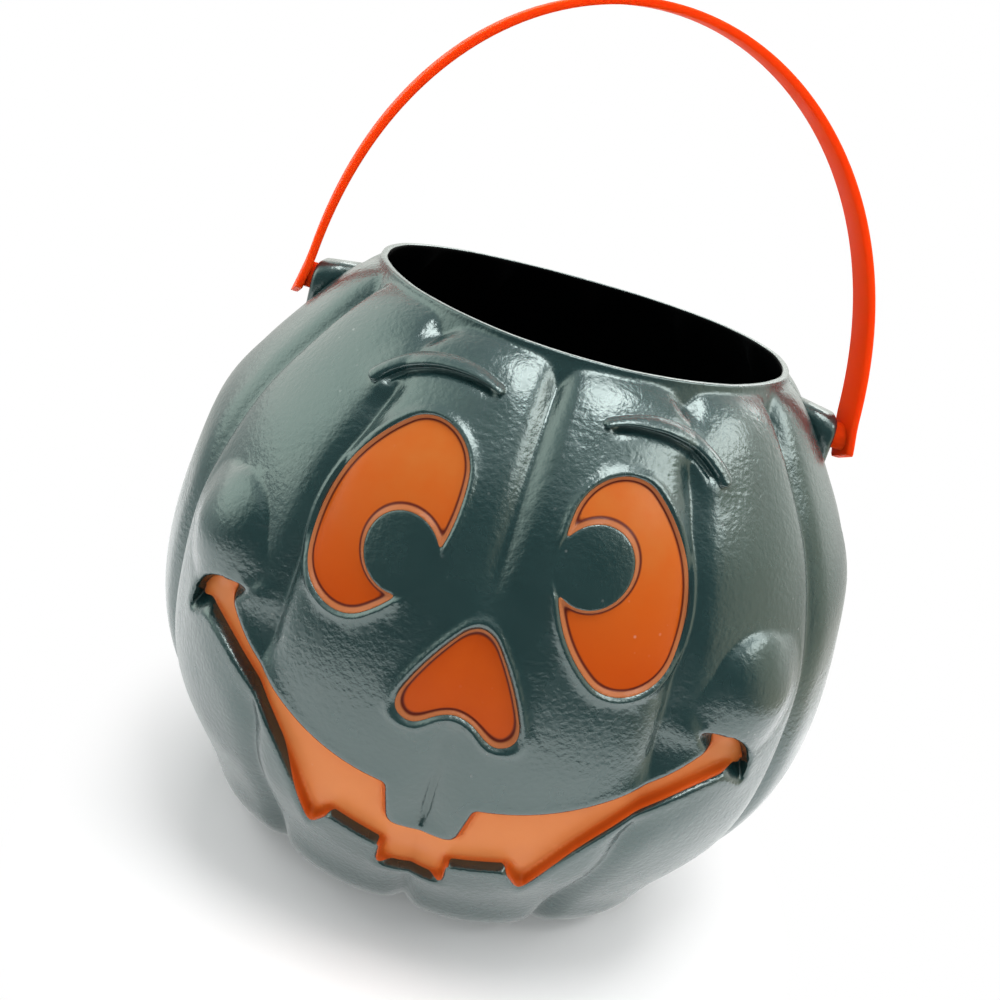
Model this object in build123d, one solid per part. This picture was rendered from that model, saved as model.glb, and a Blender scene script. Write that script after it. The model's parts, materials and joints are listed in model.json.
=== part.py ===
import os
from math import cos, radians, sin

from build123d import *

# Frame: millimetres, +Z up, origin at the centre of the base, face towards -Y.

# Pail shell: crest radius and crease depth of the lobes at each height
pail_height = 178.0
wall = 1.8
lobe_count = 12
rim_radius = 66.0
neck_radius = 74.5
neck_height = 169.5
neck_crease = 1.4
shoulder_radius = 84.0
shoulder_height = 161.0
shoulder_crease = 3.2
brow_line_radius = 95.0
brow_line_height = 144.0
cheek_line_radius = 107.5
cheek_line_height = 110.0
belly_radius = 110.7
belly_height = 75.0
jaw_radius = 102.0
jaw_height = 40.0
side_crease = 4.0
heel_radius = 88.0
heel_height = 16.0
toe_radius = 79.5
toe_height = 5.0
base_radius = 70.0
base_crease = 5.5
kick_up_radius = 52.0
kick_up_height = 2.5

# Eyes, as seen from the front: two arcs that cross at sharp ends, rounded to an oval
eye_sharp_half_height = 34.0
eye_half_width = 16.4
eye_end_rounding = 12.5
eye_lean = 23.0
eye_spacing = 64.0
eye_centre_height = 130.0
eye_depth = 2.2
pupil_radius = 9.8
left_pupil_inset = 7.0
left_pupil_rise = -6.0
right_pupil_inset = 9.1
right_pupil_rise = 4.4
pupil_tip_rounding = 1.2

# Nose: a triangle with bowed sides, measured to its sharp corners
nose_half_width = 22.0
nose_height = 40.6
nose_foot = 76.0
nose_side_bow = 2.6
nose_foot_bow = 9.6
nose_rounding = 4.4
nose_depth = 2.2

# Mouth
mouth_half_width = 66.0
mouth_corner_height = 88.5
mouth_foot = 28.5
mouth_depth = 4.5
upper_tooth_half_width = 11.8
upper_tooth_taper = 2.8
upper_tooth_length = 13.3
upper_tooth_foot = 50.5
lower_tooth_start = 10.3
lower_tooth_width = 14.7
lower_tooth_height = 13.5
lower_tooth_slope = 4.0
notch_width = 5.8
notch_rise = 4.2
upper_lip_bow = 4.6
lower_lip_bow = 6.6
dimple_width = 14.0
dimple_rise = 7.0
dimple_hook = 1.5
dimple_drop = 14.0
dimple_bow = 5.6
dimple_throat = 6.5

# Raised forms of the face
lip_width = 2.4
lip_height = 0.8
cheek_angle = 46.0
cheek_height = 107.0
cheek_spread = 16.5
cheek_bulge = 6.5
brow_start = 13.3
brow_length = 37.2
brow_start_height = 165.8
brow_fall = 8.3
brow_bow_share = 0.37
brow_bow = 7.2
brow_thickness = 4.6
brow_proud = 2.4

# Paint in the sunk features
paint_thickness = 0.2
paint_margin = 0.15

# Lugs
pivot_height = 164.0
lug_reach = 85.5
lug_half_width = 8.5
lug_head = 6.0
lug_drop = 14.0
lug_top_slope = 2.5
lug_rounding = 2.6

# Handle
pin_radius = 2.5
pin_clearance = 0.05
pin_head_overhang = 0.8
pin_head_length = 1.8
pin_end_play = 0.3
boss_radius = 4.2
strap_thickness = 2.4
strap_width = 12.6
strap_stand_off = 2.5
strap_tail = 6.0
strap_arch_height = 104.8
strap_edge_rounding = 0.7
strap_corner_rounding = 1.6

# Values that follow from the sizes above
lobe_step = 360.0 / lobe_count
front_reach = 2 * belly_radius
strap_inner = lug_reach + strap_stand_off
strap_outer = strap_inner + strap_thickness
left_pupil = Vector(left_pupil_inset - eye_spacing / 2, eye_centre_height + left_pupil_rise)
right_pupil = Vector(eye_spacing / 2 - right_pupil_inset, eye_centre_height + right_pupil_rise)

crest_line = [
    (0.0, base_radius, base_crease),
    (toe_height, toe_radius, base_crease),
    (heel_height, heel_radius, base_crease),
    (jaw_height, jaw_radius, side_crease),
    (belly_height, belly_radius, side_crease),
    (cheek_line_height, cheek_line_radius, side_crease),
    (brow_line_height, brow_line_radius, side_crease),
    (shoulder_height, shoulder_radius, shoulder_crease),
    (neck_height, neck_radius, neck_crease),
    (pail_height, rim_radius, 0.0),
]


def polar_point(radius, degrees, height):
    # Angles are counted from the middle of the face.
    angle = radians(degrees)
    return Vector(radius * sin(angle), -radius * cos(angle), height)


def lobed_ring(height, radius, crease):
    arcs = []
    for lobe in range(lobe_count):
        start = lobe * lobe_step
        first = polar_point(radius - crease, start, height)
        crest = polar_point(radius, start + lobe_step / 2, height)
        last = polar_point(radius - crease, start + lobe_step, height)
        arcs.append(ThreePointArc(first, crest, last))
    return Wire(arcs)


def lobed_form(sink, floor_lift=0.0, rim_lift=0.0):
    # The pail's outer form, drawn in by sink, with its floor and rim planes moved up.
    heights = [height for height, _, _ in crest_line]
    heights[0] += floor_lift
    heights[-1] += rim_lift
    rings = []
    for at, (_, radius, crease) in zip(heights, crest_line):
        rings.append(lobed_ring(at, radius - sink, crease))
    return Solid.make_loft(rings)


def front_prism(outline):
    # Features are drawn as seen from the front and pulled towards the viewer, as the mould opens.
    return extrude(Plane.XZ * outline, amount=front_reach)


def bowed(start, end, bow):
    # An arc from start to end that stands out to the left of its chord by bow.
    chord = end - start
    out = Vector(-chord.Y, chord.X).normalized()
    return ThreePointArc(start, (start + end) / 2 + out * bow, end)


def grown(outline, margin):
    return offset(outline, margin, kind=Kind.ARC)


def rounded(outline, radius):
    # Drawn in and let out again, so that arcs stay arcs.
    return grown(offset(outline, -radius, kind=Kind.INTERSECTION), radius)


def eye_outline(side, pupil, margin):
    top = Vector(0.0, eye_sharp_half_height)
    lens = make_face([bowed(-top, top, eye_half_width), bowed(top, -top, eye_half_width)])
    oval = rounded(lens, eye_end_rounding)
    place = Pos(side * eye_spacing / 2, eye_centre_height) * Rotation(0, 0, side * eye_lean)
    bite = Pos(pupil) * Rotation(0, 0, 90 + side * 90) * Circle(pupil_radius)
    return grown(rounded(place * oval - bite, pupil_tip_rounding), margin)


def left_eye_outline(margin=0.0):
    return eye_outline(-1, left_pupil, margin)


def right_eye_outline(margin=0.0):
    return eye_outline(1, right_pupil, margin)


def nose_outline(margin=0.0):
    top = Vector(0.0, nose_foot + nose_height)
    right = Vector(nose_half_width, nose_foot)
    left = Vector(-nose_half_width, nose_foot)
    sides = [
        bowed(top, right, nose_side_bow),
        bowed(right, left, -nose_foot_bow),
        bowed(left, top, nose_side_bow),
    ]
    return grown(rounded(make_face(sides), nose_rounding), margin)


def mouth_outline(margin=0.0):
    tooth_foot = Vector(upper_tooth_half_width - upper_tooth_taper, upper_tooth_foot)
    tooth_root = Vector(upper_tooth_half_width, upper_tooth_foot + upper_tooth_length)
    corner = Vector(mouth_half_width, mouth_corner_height)
    hook = corner + Vector(-dimple_hook, dimple_rise)
    tip = corner + Vector(dimple_width, -dimple_drop)
    throat = tip + Vector(-dimple_throat, dimple_throat)
    lower_tooth_end = lower_tooth_start + lower_tooth_width
    notch = Vector(lower_tooth_end + notch_width, mouth_foot + notch_rise)
    lower_outer = Vector(lower_tooth_end, mouth_foot + lower_tooth_height)
    lower_inner = Vector(lower_tooth_start, mouth_foot + lower_tooth_height - lower_tooth_slope)
    foot = Vector(lower_tooth_start, mouth_foot)
    half = [
        Polyline((0.0, mouth_foot), (0.0, upper_tooth_foot), tooth_foot, tooth_root),
        bowed(tooth_root, corner, -upper_lip_bow),
        Line(corner, hook),
        bowed(hook, tip, dimple_bow),
        Line(tip, throat),
        bowed(throat, notch, -lower_lip_bow),
        Polyline(notch, lower_outer, lower_inner, foot, (0.0, mouth_foot)),
    ]
    half_face = make_face(half)
    return grown(half_face + mirror(half_face, about=Plane.YZ), margin)


def brow_outline(side):
    inner = Vector(side * brow_start, brow_start_height)
    outer = inner + Vector(side * brow_length, -brow_fall)
    bow = inner + (outer - inner) * brow_bow_share + Vector(0.0, brow_bow)
    under = bow - Vector(0.0, brow_thickness)
    return make_face([ThreePointArc(inner, bow, outer), ThreePointArc(outer, under, inner)])


def cheek_ball(side, sink=0.0):
    ball_radius = (cheek_spread**2 + cheek_bulge**2) / (2 * cheek_bulge)
    reach = cheek_line_radius + cheek_bulge - ball_radius
    centre = polar_point(reach, side * cheek_angle, cheek_height)
    return Pos(centre) * Sphere(ball_radius - sink)


def lug_block(side, sink=0.0):
    reach = lug_reach - sink
    root = rim_radius - 2 * wall
    low = pivot_height - lug_drop + sink
    top = pivot_height + lug_head - sink
    corners = [(root, low), (reach, low), (reach, top), (root, top + lug_top_slope)]
    outline = Plane.XZ * make_face(Polyline(corners, close=True))
    block = extrude(outline, amount=lug_half_width - sink, both=True)
    lug = fillet(block.faces().sort_by(Axis.X)[-1].edges(), lug_rounding - sink)
    return lug if side > 0 else mirror(lug, about=Plane.YZ)


def pin_rod(side, radius, start, end):
    # A round bar on the pivot line, from start to end outwards from the middle.
    centre = Pos(side * (start + end) / 2, 0.0, pivot_height)
    return centre * Rotation(0, 90, 0) * Cylinder(radius, end - start)


def pail_body():
    outer = lobed_form(0.0)
    inner = lobed_form(wall, floor_lift=wall, rim_lift=wall)
    for side in (-1, 1):
        outer += [cheek_ball(side), lug_block(side)]
        inner += [cheek_ball(side, wall), lug_block(side, wall)]
        outer += front_prism(brow_outline(side)) & lobed_form(-brow_proud)
    for outline, depth in sunk_features.values():
        outer += front_prism(outline(lip_width)) & lobed_form(-lip_height)
        inner -= front_prism(outline(wall)) - lobed_form(depth + wall)
    body = outer - inner
    for outline, depth in sunk_features.values():
        body -= front_prism(outline()) - lobed_form(depth)
    for side in (-1, 1):
        body -= pin_rod(side, pin_radius + pin_clearance, lug_reach - 2 * wall, lug_reach + wall)
    body += Pos(0, 0, (kick_up_height + wall) / 2) * Cylinder(kick_up_radius + wall, kick_up_height + wall)
    body -= Pos(0, 0, kick_up_height / 2) * Cylinder(kick_up_radius, kick_up_height)
    return body


def paint_film(outline, depth):
    skin = lobed_form(depth - paint_thickness) - lobed_form(depth)
    return front_prism(outline(-paint_margin)) & skin


def handle():
    tail = pivot_height - strap_tail
    arch_top = strap_arch_height + strap_thickness
    outline = [
        EllipticalCenterArc((0.0, pivot_height), strap_inner, strap_arch_height, arc_size=180),
        EllipticalCenterArc((0.0, pivot_height), strap_outer, arch_top, arc_size=180),
    ]
    for side in (-1, 1):
        inner_end = (side * strap_inner, pivot_height)
        outer_end = (side * strap_outer, pivot_height)
        inner_tail = (side * strap_inner, tail)
        outer_tail = (side * strap_outer, tail)
        outline.append(Polyline(inner_end, inner_tail, outer_tail, outer_end))
    strap = extrude(Plane.XZ * make_face(outline), amount=strap_width / 2, both=True)
    corners = strap.edges().filter_by(Axis.X).group_by(Axis.Z)[0]
    strap = fillet(corners, strap_corner_rounding)
    flanks = strap.faces().sort_by(Axis.Y)
    strap = fillet(flanks[0].edges() + flanks[-1].edges(), strap_edge_rounding)
    neck_end = lug_reach - wall - pin_end_play
    for side in (-1, 1):
        head = Cone(pin_radius + pin_head_overhang, pin_radius, pin_head_length)
        head_centre = Pos(side * (neck_end - pin_head_length / 2), 0.0, pivot_height)
        strap += pin_rod(side, boss_radius, lug_reach + pin_end_play, strap_inner + strap_thickness / 2)
        strap += pin_rod(side, pin_radius, neck_end - pin_head_length / 2, strap_inner)
        strap += head_centre * Rotation(0, -side * 90, 0) * head
    return strap


sunk_features = {
    "left_eye": (left_eye_outline, eye_depth),
    "right_eye": (right_eye_outline, eye_depth),
    "nose": (nose_outline, nose_depth),
    "mouth": (mouth_outline, mouth_depth),
}

os.makedirs("parts", exist_ok=True)
export_step(pail_body(), "parts/pail_body.step")
for name, (outline, depth) in sunk_features.items():
    export_step(paint_film(outline, depth), f"parts/{name}_paint.step")
export_step(handle(), "parts/handle.step")
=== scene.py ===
import json
from math import atan2, cos, exp, hypot, pi, radians, sin, sqrt, tan

import bmesh
import bpy
import numpy as np
from mathutils import Matrix, Vector


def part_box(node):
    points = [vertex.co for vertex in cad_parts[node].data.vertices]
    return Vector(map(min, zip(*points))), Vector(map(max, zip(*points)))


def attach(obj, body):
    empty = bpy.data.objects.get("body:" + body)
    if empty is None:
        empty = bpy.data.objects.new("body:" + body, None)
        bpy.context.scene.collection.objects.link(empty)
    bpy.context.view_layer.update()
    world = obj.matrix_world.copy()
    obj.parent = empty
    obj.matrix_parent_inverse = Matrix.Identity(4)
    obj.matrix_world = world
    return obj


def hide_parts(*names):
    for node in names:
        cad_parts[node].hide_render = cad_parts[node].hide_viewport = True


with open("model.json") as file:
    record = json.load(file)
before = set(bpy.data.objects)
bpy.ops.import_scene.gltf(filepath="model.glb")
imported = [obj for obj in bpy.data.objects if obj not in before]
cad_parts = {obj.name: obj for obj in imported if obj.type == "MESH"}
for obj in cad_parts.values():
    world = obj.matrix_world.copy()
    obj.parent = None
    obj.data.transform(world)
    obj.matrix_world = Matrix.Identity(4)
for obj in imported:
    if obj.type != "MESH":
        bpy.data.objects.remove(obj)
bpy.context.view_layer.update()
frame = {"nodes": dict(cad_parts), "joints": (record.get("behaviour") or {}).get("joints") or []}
mm = 0.001  # sizes below are in millimetres, meshes in metres
print("frame loaded:", sorted(frame["nodes"]))


# outlines of the face, as seen from the front: x to the right, z up, below zero is inside

def circleThrough(a, b, c):
    bx, bz, cx, cz = b[0] - a[0], b[1] - a[1], c[0] - a[0], c[1] - a[1]
    cross = 2 * (bx * cz - bz * cx)
    bb, cc = bx * bx + bz * bz, cx * cx + cz * cz
    ox, oz = (cz * bb - bz * cc) / cross, (bx * cc - cx * bb) / cross
    return a[0] + ox, a[1] + oz, hypot(ox, oz)


def bowedDisc(start, end, bow):  # the arc from start to end stands out to the left of its chord
    dx, dz = end[0] - start[0], end[1] - start[1]
    span = hypot(dx, dz)
    middle = ((start[0] + end[0]) / 2 - dz / span * bow, (start[1] + end[1]) / 2 + dx / span * bow)
    return circleThrough(start, middle, end)


def fromDisc(x, z, disc):
    return np.hypot(x - disc[0], z - disc[1]) - disc[2]


def fromLine(x, z, start, end):  # positive to the left of the line
    dx, dz = end[0] - start[0], end[1] - start[1]
    return ((z - start[1]) * dx - (x - start[0]) * dz) / hypot(dx, dz)


def softMax(a, b, blend):
    meet = np.maximum(blend - np.abs(a - b), 0.0) / blend
    return np.maximum(a, b) + meet * meet * blend / 4


def softMin(a, b, blend):
    return -softMax(-a, -b, blend)


def easeBetween(value, low, high):
    t = np.clip((value - low) / (high - low), 0.0, 1.0)
    return t * t * (3 - 2 * t)


eyes = {
    "spacing": 64.0, "height": 130.0, "lean": 23.0,
    "sharpHalfHeight": 34.0, "halfWidth": 16.4, "endRounding": 12.5,
    "pupilRadius": 9.8, "leftPupil": (-25.0, 124.0), "rightPupil": (22.9, 134.4),
    "openWay": 2.4, "openFall": 3.0,  # the outline ends where a pupil opens into the body
    "tipBlend": 1.4, "depth": 1.5, "wallWidth": 1.5, "bareEdge": 0.3,
    "bead": 0.9, "beadWay": 0.75, "beadWidth": 0.95, "beadFade": (0.2, 2.0),  # no bead within a pupil
}


def eyeField(x, z, side, pupil):
    turn = radians(eyes["lean"]) * side
    px, pz = x - side * eyes["spacing"] / 2, z - eyes["height"]
    across = np.abs(px * cos(turn) + pz * sin(turn))
    along = np.abs(pz * cos(turn) - px * sin(turn))
    halfHeight, halfWidth, ends = eyes["sharpHalfHeight"], eyes["halfWidth"], eyes["endRounding"]
    lensRadius = (halfHeight**2 + halfWidth**2) / (2 * halfWidth)
    offset = lensRadius - halfWidth
    inner = lensRadius - ends
    tip = sqrt(inner**2 - offset**2)
    beyondTip = (along - tip) * offset > across * tip
    fromTip, fromSide = np.hypot(across, along - tip), np.hypot(across + offset, along) - inner
    oval = np.where(beyondTip, fromTip, fromSide) - ends
    bite = fromDisc(x, z, (*pupil, eyes["pupilRadius"]))
    openSide = easeBetween(np.minimum(oval, -bite), 0.0, eyes["openWay"])
    return softMax(oval, -bite, eyes["tipBlend"]) + eyes["openFall"] * openSide


def leftEyeField(x, z):
    return eyeField(x, z, -1, eyes["leftPupil"])


def rightEyeField(x, z):
    return eyeField(x, z, 1, eyes["rightPupil"])


def besidePupils(x, z):  # 0 within a pupil, 1 away from both
    within = [fromDisc(x, z, (*eyes[pupil], eyes["pupilRadius"])) for pupil in ("leftPupil", "rightPupil")]
    return easeBetween(np.minimum(*within), *eyes["beadFade"])


nose = {
    "middle": 0.9, "halfWidth": 19.1, "height": 33.5, "foot": 83.4, "sideBow": 2.6,
    "archTop": 88.8, "archRadius": 9.0, "cornerBlend": 8.4, "archBlend": 4.0,
    "depth": 1.5, "wallWidth": 1.5, "bareEdge": 0.5,
    "bead": 0.9, "beadWay": 0.75, "beadWidth": 0.95,
}


def noseField(x, z):
    x = x - nose["middle"]
    top = (0.0, nose["foot"] + nose["height"])
    side = bowedDisc(top, (nose["halfWidth"], nose["foot"]), nose["sideBow"])
    sides = softMax(fromDisc(x, z, side), fromDisc(-x, z, side), nose["cornerBlend"])
    lobes = softMax(sides, nose["foot"] - z, nose["cornerBlend"])
    arch = (0.0, nose["archTop"] - nose["archRadius"], nose["archRadius"])
    return softMax(lobes, -fromDisc(x, z, arch), nose["archBlend"])


mouth = {
    "toothFoot": (9.0, 50.5), "toothRoot": (11.8, 63.8), "toothBlend": 3.0,
    "corner": (66.0, 88.5), "upperBow": (6.1, 5.0),  # on the left, on the right
    "hook": (65.6, 95.6), "innerHook": (64.6, 92.6), "tip": (81.6, 75.8), "heel": (75.4, 80.0),
    "dimpleBow": 6.0, "dimpleBlend": 3.0,
    "throat": (73.5, 81.0), "notch": (30.8, 32.7), "lowerBow": 6.6, "foot": 28.5,
    "lowerTooth": [(10.3, 38.0), (25.0, 42.0)], "cornerBlend": 1.8, "notchBlend": 3.4,
    "depth": 4.5, "wallWidth": 2.1, "bead": 0.3, "beadWay": 1.0, "beadWidth": 1.2,
    # how far down the wall the paint starts; the arms' values are left and right
    "bareEdge": 0.5, "bareToothTop": 1.7, "bareArm": (1.8, 0.7), "bareDimple": 2.1,
    "teethEnd": (26.0, 34.0), "armStart": (34.0, 44.0), "toothFacing": (0.5, 1.0), "armFacing": (0.3, 0.6),
    "jaw": [(0.0, 26.0), (73.0, 80.0)], "jawBow": -7.0, "jawProud": 1.2, "jawWay": 2.0, "jawReach": 9.0,
}


def dimpleArc(x, z):
    return fromDisc(x, z, bowedDisc(mouth["hook"], mouth["tip"], mouth["dimpleBow"]))


def gapeField(x, z):
    onLeft, x, blend = x < 0, np.abs(x), mouth["cornerBlend"]
    lips = [bowedDisc(mouth["toothRoot"], mouth["corner"], -bow) for bow in mouth["upperBow"]]
    upperLip = np.where(onLeft, *[-fromDisc(x, z, lip) for lip in lips])
    lowerLip = -fromDisc(x, z, bowedDisc(mouth["throat"], mouth["notch"], -mouth["lowerBow"]))
    gape = softMax(softMax(upperLip, lowerLip, blend), mouth["foot"] - z, blend)
    gape = np.maximum(gape, np.minimum(dimpleArc(x, z), x - mouth["corner"][0]))
    toothSide = -fromLine(x, z, mouth["toothFoot"], mouth["toothRoot"])
    upperTooth = softMax(mouth["toothFoot"][1] - z, toothSide, mouth["toothBlend"])
    inner, outer = mouth["lowerTooth"]
    lowerTooth = softMax(inner[0] - x, fromLine(x, z, inner, outer), blend)
    lowerTooth = softMax(lowerTooth, fromLine(x, z, outer, mouth["notch"]), blend)
    return softMax(softMax(gape, -upperTooth, blend), -lowerTooth, mouth["notchBlend"])


def dimpleField(x, z):
    # a cap at the end of each arm
    x, blend = np.abs(x), mouth["dimpleBlend"]
    inner = -fromLine(x, z, mouth["innerHook"], mouth["heel"])
    foot = -fromLine(x, z, mouth["heel"], mouth["tip"])
    return softMax(softMax(dimpleArc(x, z), inner, blend), foot, blend)


def mouthField(x, z):
    return softMin(gapeField(x, z), dimpleField(x, z), mouth["cornerBlend"])


sunkFeatures = {
    "left_eye_paint": (leftEyeField, eyes),
    "right_eye_paint": (rightEyeField, eyes),
    "nose_paint": (noseField, nose),
    "mouth_paint": (mouthField, mouth),
}

brows = {
    "inner": (14.6, 166.4), "crown": (31.5, 167.7), "outer": (48.6, 158.6), "middle": 1.2,
    "halfWidth": 1.7, "innerShare": 0.65, "innerReach": 0.35, "proud": 2.2, "roundness": 0.55,
    "groove": 1.4, "grooveWay": 0.8, "grooveWidth": 1.1, "grooveEnds": 0.08,
    "crease": (0.25, 5.0),  # share left of a crease under a brow, and how far off it is whole again
}


def browField(x, z):
    # distance from the brow's middle line, positive above it, and share of the way along
    x = np.abs(x - brows["middle"])
    inner, outer = brows["inner"], brows["outer"]
    cx, cz, radius = circleThrough(inner, brows["crown"], outer)
    start, end = atan2(inner[0] - cx, inner[1] - cz), atan2(outer[0] - cx, outer[1] - cz)
    turn = np.clip(np.arctan2(x - cx, z - cz), start, end)
    away = np.hypot(x - cx - radius * np.sin(turn), z - cz - radius * np.cos(turn))
    return np.where(fromDisc(x, z, (cx, cz, radius)) > 0, away, -away), (turn - start) / (end - start)


def browRise(x, z):
    # a round ridge with a groove below it
    across, along = browField(x, z)
    slim, ends = brows["innerShare"], brows["grooveEnds"]
    halfWidth = brows["halfWidth"] * (slim + (1 - slim) * easeBetween(along, 0.0, brows["innerReach"]))
    ridge = np.maximum(1 - (across / halfWidth)**2, 0.0)**brows["roundness"]
    groove = np.exp(-((across + halfWidth + brows["grooveWay"]) / brows["grooveWidth"])**2)
    groove *= easeBetween(along, 0.0, ends) * (1 - easeBetween(along, 1 - ends, 1.0))
    return brows["proud"] * ridge - brows["groove"] * groove


# the pail: a sheet of columns and rows, wrapped round the section

pail = {
    "height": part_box("pail_body")[1].z / mm, "wall": 1.8, "lobes": 12,
    "crest": [  # height, crest radius, crease depth
        (0.0, 70.0, 8.0), (5.0, 79.5, 7.4), (16.0, 88.0, 6.0), (40.0, 102.0, 4.2), (75.0, 110.7, 4.2),
        (110.0, 107.5, 4.2), (144.0, 95.0, 4.6), (161.0, 82.6, 5.4), (169.5, 75.2, 7.6), (174.5, 69.0, 8.6),
        (178.0, 62.5, 9.0),
    ],
    "creaseRounding": 0.025, "grooveShare": 0.6, "grooveWidth": 0.2, "grooveBlend": 0.6,
    "kickUpRadius": 52.0, "kickUp": 2.5, "kickUpRun": 2.0,  # the raised middle of the base
    "insideFoot": 1.0, "floorRounding": 3.0,
    "shoulder": 158.0, "rimRadius": 65.5, "collarSlope": 0.36, "collarBlend": (0.4, 2.4),  # outside, inside
    "rimRound": 1.15, "rimFlat": 0.5, "innerRim": 2.1, "wallSlant": 1.1,  # a slanting wall measures more
    "saddle": 2.0, "backLean": 1.1, "liftStart": 150.0,  # rim higher at the lugs, less at the back left
    # the crease between the eyes is a little fainter, and all creases are near mouth and nose
    "faintCrease": {"starts": (20.0, 44.0), "ends": (100.0, 118.0), "degrees": (6.0, 15.0), "share": 0.85},
    "mouthCrease": (0.4, 7.0), "noseCrease": (0.25, 11.0),  # share left, and how far off it is whole again
    "seam": {"from": 51.0, "to": 72.0, "ends": 4.0, "depth": 1.2, "degrees": 0.4},  # down to the upper tooth
    "columns": 288, "crowding": 0.55,  # columns crowd towards the creases
    "rows": {"underside": 5, "footRing": 5, "side": 58, "shoulder": 22, "rim": 8, "inside": 24, "floor": 6},
    "refine": [(5.0, 5.0, 4.0), (3.2, 3.6, 2.4), (1.9, 2.3, 0.0)],  # bands by outlines, brows and cheeks
    "slideReach": 2.0, "slideRounds": 4,
}
cheeks = {
    "angle": 44.5, "height": 107.5, "bulge": 6.2, "edgeWay": 0.5,
    "crispLean": 25.0, "crispCore": 5.0, "crispRange": (0.15, 0.65),  # crisp towards the eye, soft all round
    "crispSpread": 16.0, "softSpread": 21.0, "crispFall": 0.65, "softFall": 1.7,
}
relief = {
    "front": -20.0, "foot": 8.0, "farOff": 1e3,  # the face lies in front of this and above this
    "wallCurve": 1.4, "backSwell": (1.5, 7.0),  # how sunk walls curve, and how the inside follows them
}


def splineThrough(stations, values):  # natural cubic spline
    n = len(stations)
    gap = np.diff(stations)
    slope = np.diff(values) / gap
    system, right = np.eye(n), np.zeros(n)
    for i in range(1, n - 1):
        system[i, i - 1:i + 2] = gap[i - 1], 2 * (gap[i - 1] + gap[i]), gap[i]
        right[i] = 6 * (slope[i] - slope[i - 1])
    bend = np.linalg.solve(system, right)

    def at(where):
        i = np.clip(np.searchsorted(stations, where) - 1, 0, n - 2)
        left, ahead = where - stations[i], stations[i + 1] - where
        return (bend[i] * ahead**3 + bend[i + 1] * left**3) / (6 * gap[i]) \
            + (values[i] / gap[i] - bend[i] * gap[i] / 6) * ahead \
            + (values[i + 1] / gap[i] - bend[i + 1] * gap[i] / 6) * left
    return at


crestHeights, crestRadii, crestCreases = np.array(pail["crest"]).T
radiusAt = splineThrough(crestHeights, crestRadii)


def creaseAt(height):
    return np.interp(height, crestHeights, crestCreases)


def collarAt(height):  # round under the rim
    return pail["rimRadius"] + (pail["height"] - height) * pail["collarSlope"]


def sectionOfPail():
    # from the middle of the underside out, up the side, over the rim and down inside to the floor
    wall, rimRound, rounding = pail["wall"], pail["rimRound"], pail["floorRounding"]
    kick, kickRadius, run = pail["kickUp"], pail["kickUpRadius"], pail["kickUpRun"]
    rows = pail["rows"]
    steps = np.linspace(0, 1, 40)
    ease = easeBetween(steps, 0.0, 1.0)
    sideHeights = np.linspace(0.0, pail["height"] - rimRound, 900)  # about every 0.2 mm
    high = sideHeights > pail["shoulder"]
    bodyRadii = radiusAt(sideHeights)
    sideRadii = np.where(high, np.maximum(bodyRadii, collarAt(sideHeights)), bodyRadii)
    lean = np.arctan(np.gradient(sideRadii, sideHeights))
    insideHeights, insideRadii = sideHeights + wall * np.sin(lean), sideRadii - wall * np.cos(lean)
    keep = (insideHeights > wall + pail["insideFoot"]) & (sideHeights > rounding)
    floorStart = [insideRadii[keep][0] - rounding, kickRadius + rounding]
    turn = np.linspace(0.0, pi, 30)
    rimAcross = np.sign(np.cos(turn)) * np.abs(np.cos(turn))**pail["rimFlat"]
    rimUp = np.abs(np.sin(turn))**pail["rimFlat"]
    legs = {
        "underside": (kickRadius * steps, np.full(len(steps), kick)),
        "footRing": (np.append(kickRadius + run * steps, crestRadii[0]), np.append(kick * (1 - ease), 0.0)),
        "side": (sideRadii[~high], sideHeights[~high]),
        "shoulder": (sideRadii[high], sideHeights[high]),
        "rim": (sideRadii[-1] - wall / 2 + rimRound * rimAcross, sideHeights[-1] + rimRound * rimUp),
        "inside": (insideRadii[keep][::-1], insideHeights[keep][::-1]),
        "floor": (np.concatenate([floorStart, kickRadius + run * (1 - 2 * steps), [0.0]]),
                  np.concatenate([[wall, wall], wall + kick * ease, [wall + kick]])),
    }
    places, radii, heights = [], [], []
    start = 0.0
    for name, (legRadii, legHeights) in legs.items():
        way = np.concatenate([[0.0], np.cumsum(np.hypot(np.diff(legRadii), np.diff(legHeights)))])
        places.append(start + way / way[-1] * rows[name])
        radii.append(legRadii)
        heights.append(legHeights)
        start += rows[name] + (1 if name == "inside" else 0)  # one more row from there to the floor
    return [np.concatenate(part) for part in (places, radii, heights)], start


(sectionPlaces, sectionRadii, sectionHeights), sectionEnd = sectionOfPail()
sideStart = pail["rows"]["underside"] + pail["rows"]["footRing"]
sideEnd = sideStart + pail["rows"]["side"] + pail["rows"]["shoulder"]
insideStart = sideEnd + pail["rows"]["rim"]


def creaseShare(degrees):  # 0 on a crest, 1 in a crease
    turns = degrees * pail["lobes"] / 360
    away = np.abs((turns + 0.5) % 1.0 - 0.5) * 2
    away = np.sqrt(away**2 + pail["creaseRounding"]**2)
    groove = softMax(1 - away / pail["grooveWidth"], np.zeros(len(away)), pail["grooveBlend"])
    return (1 - pail["grooveShare"]) * (1 - away)**2 + pail["grooveShare"] * groove


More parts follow.
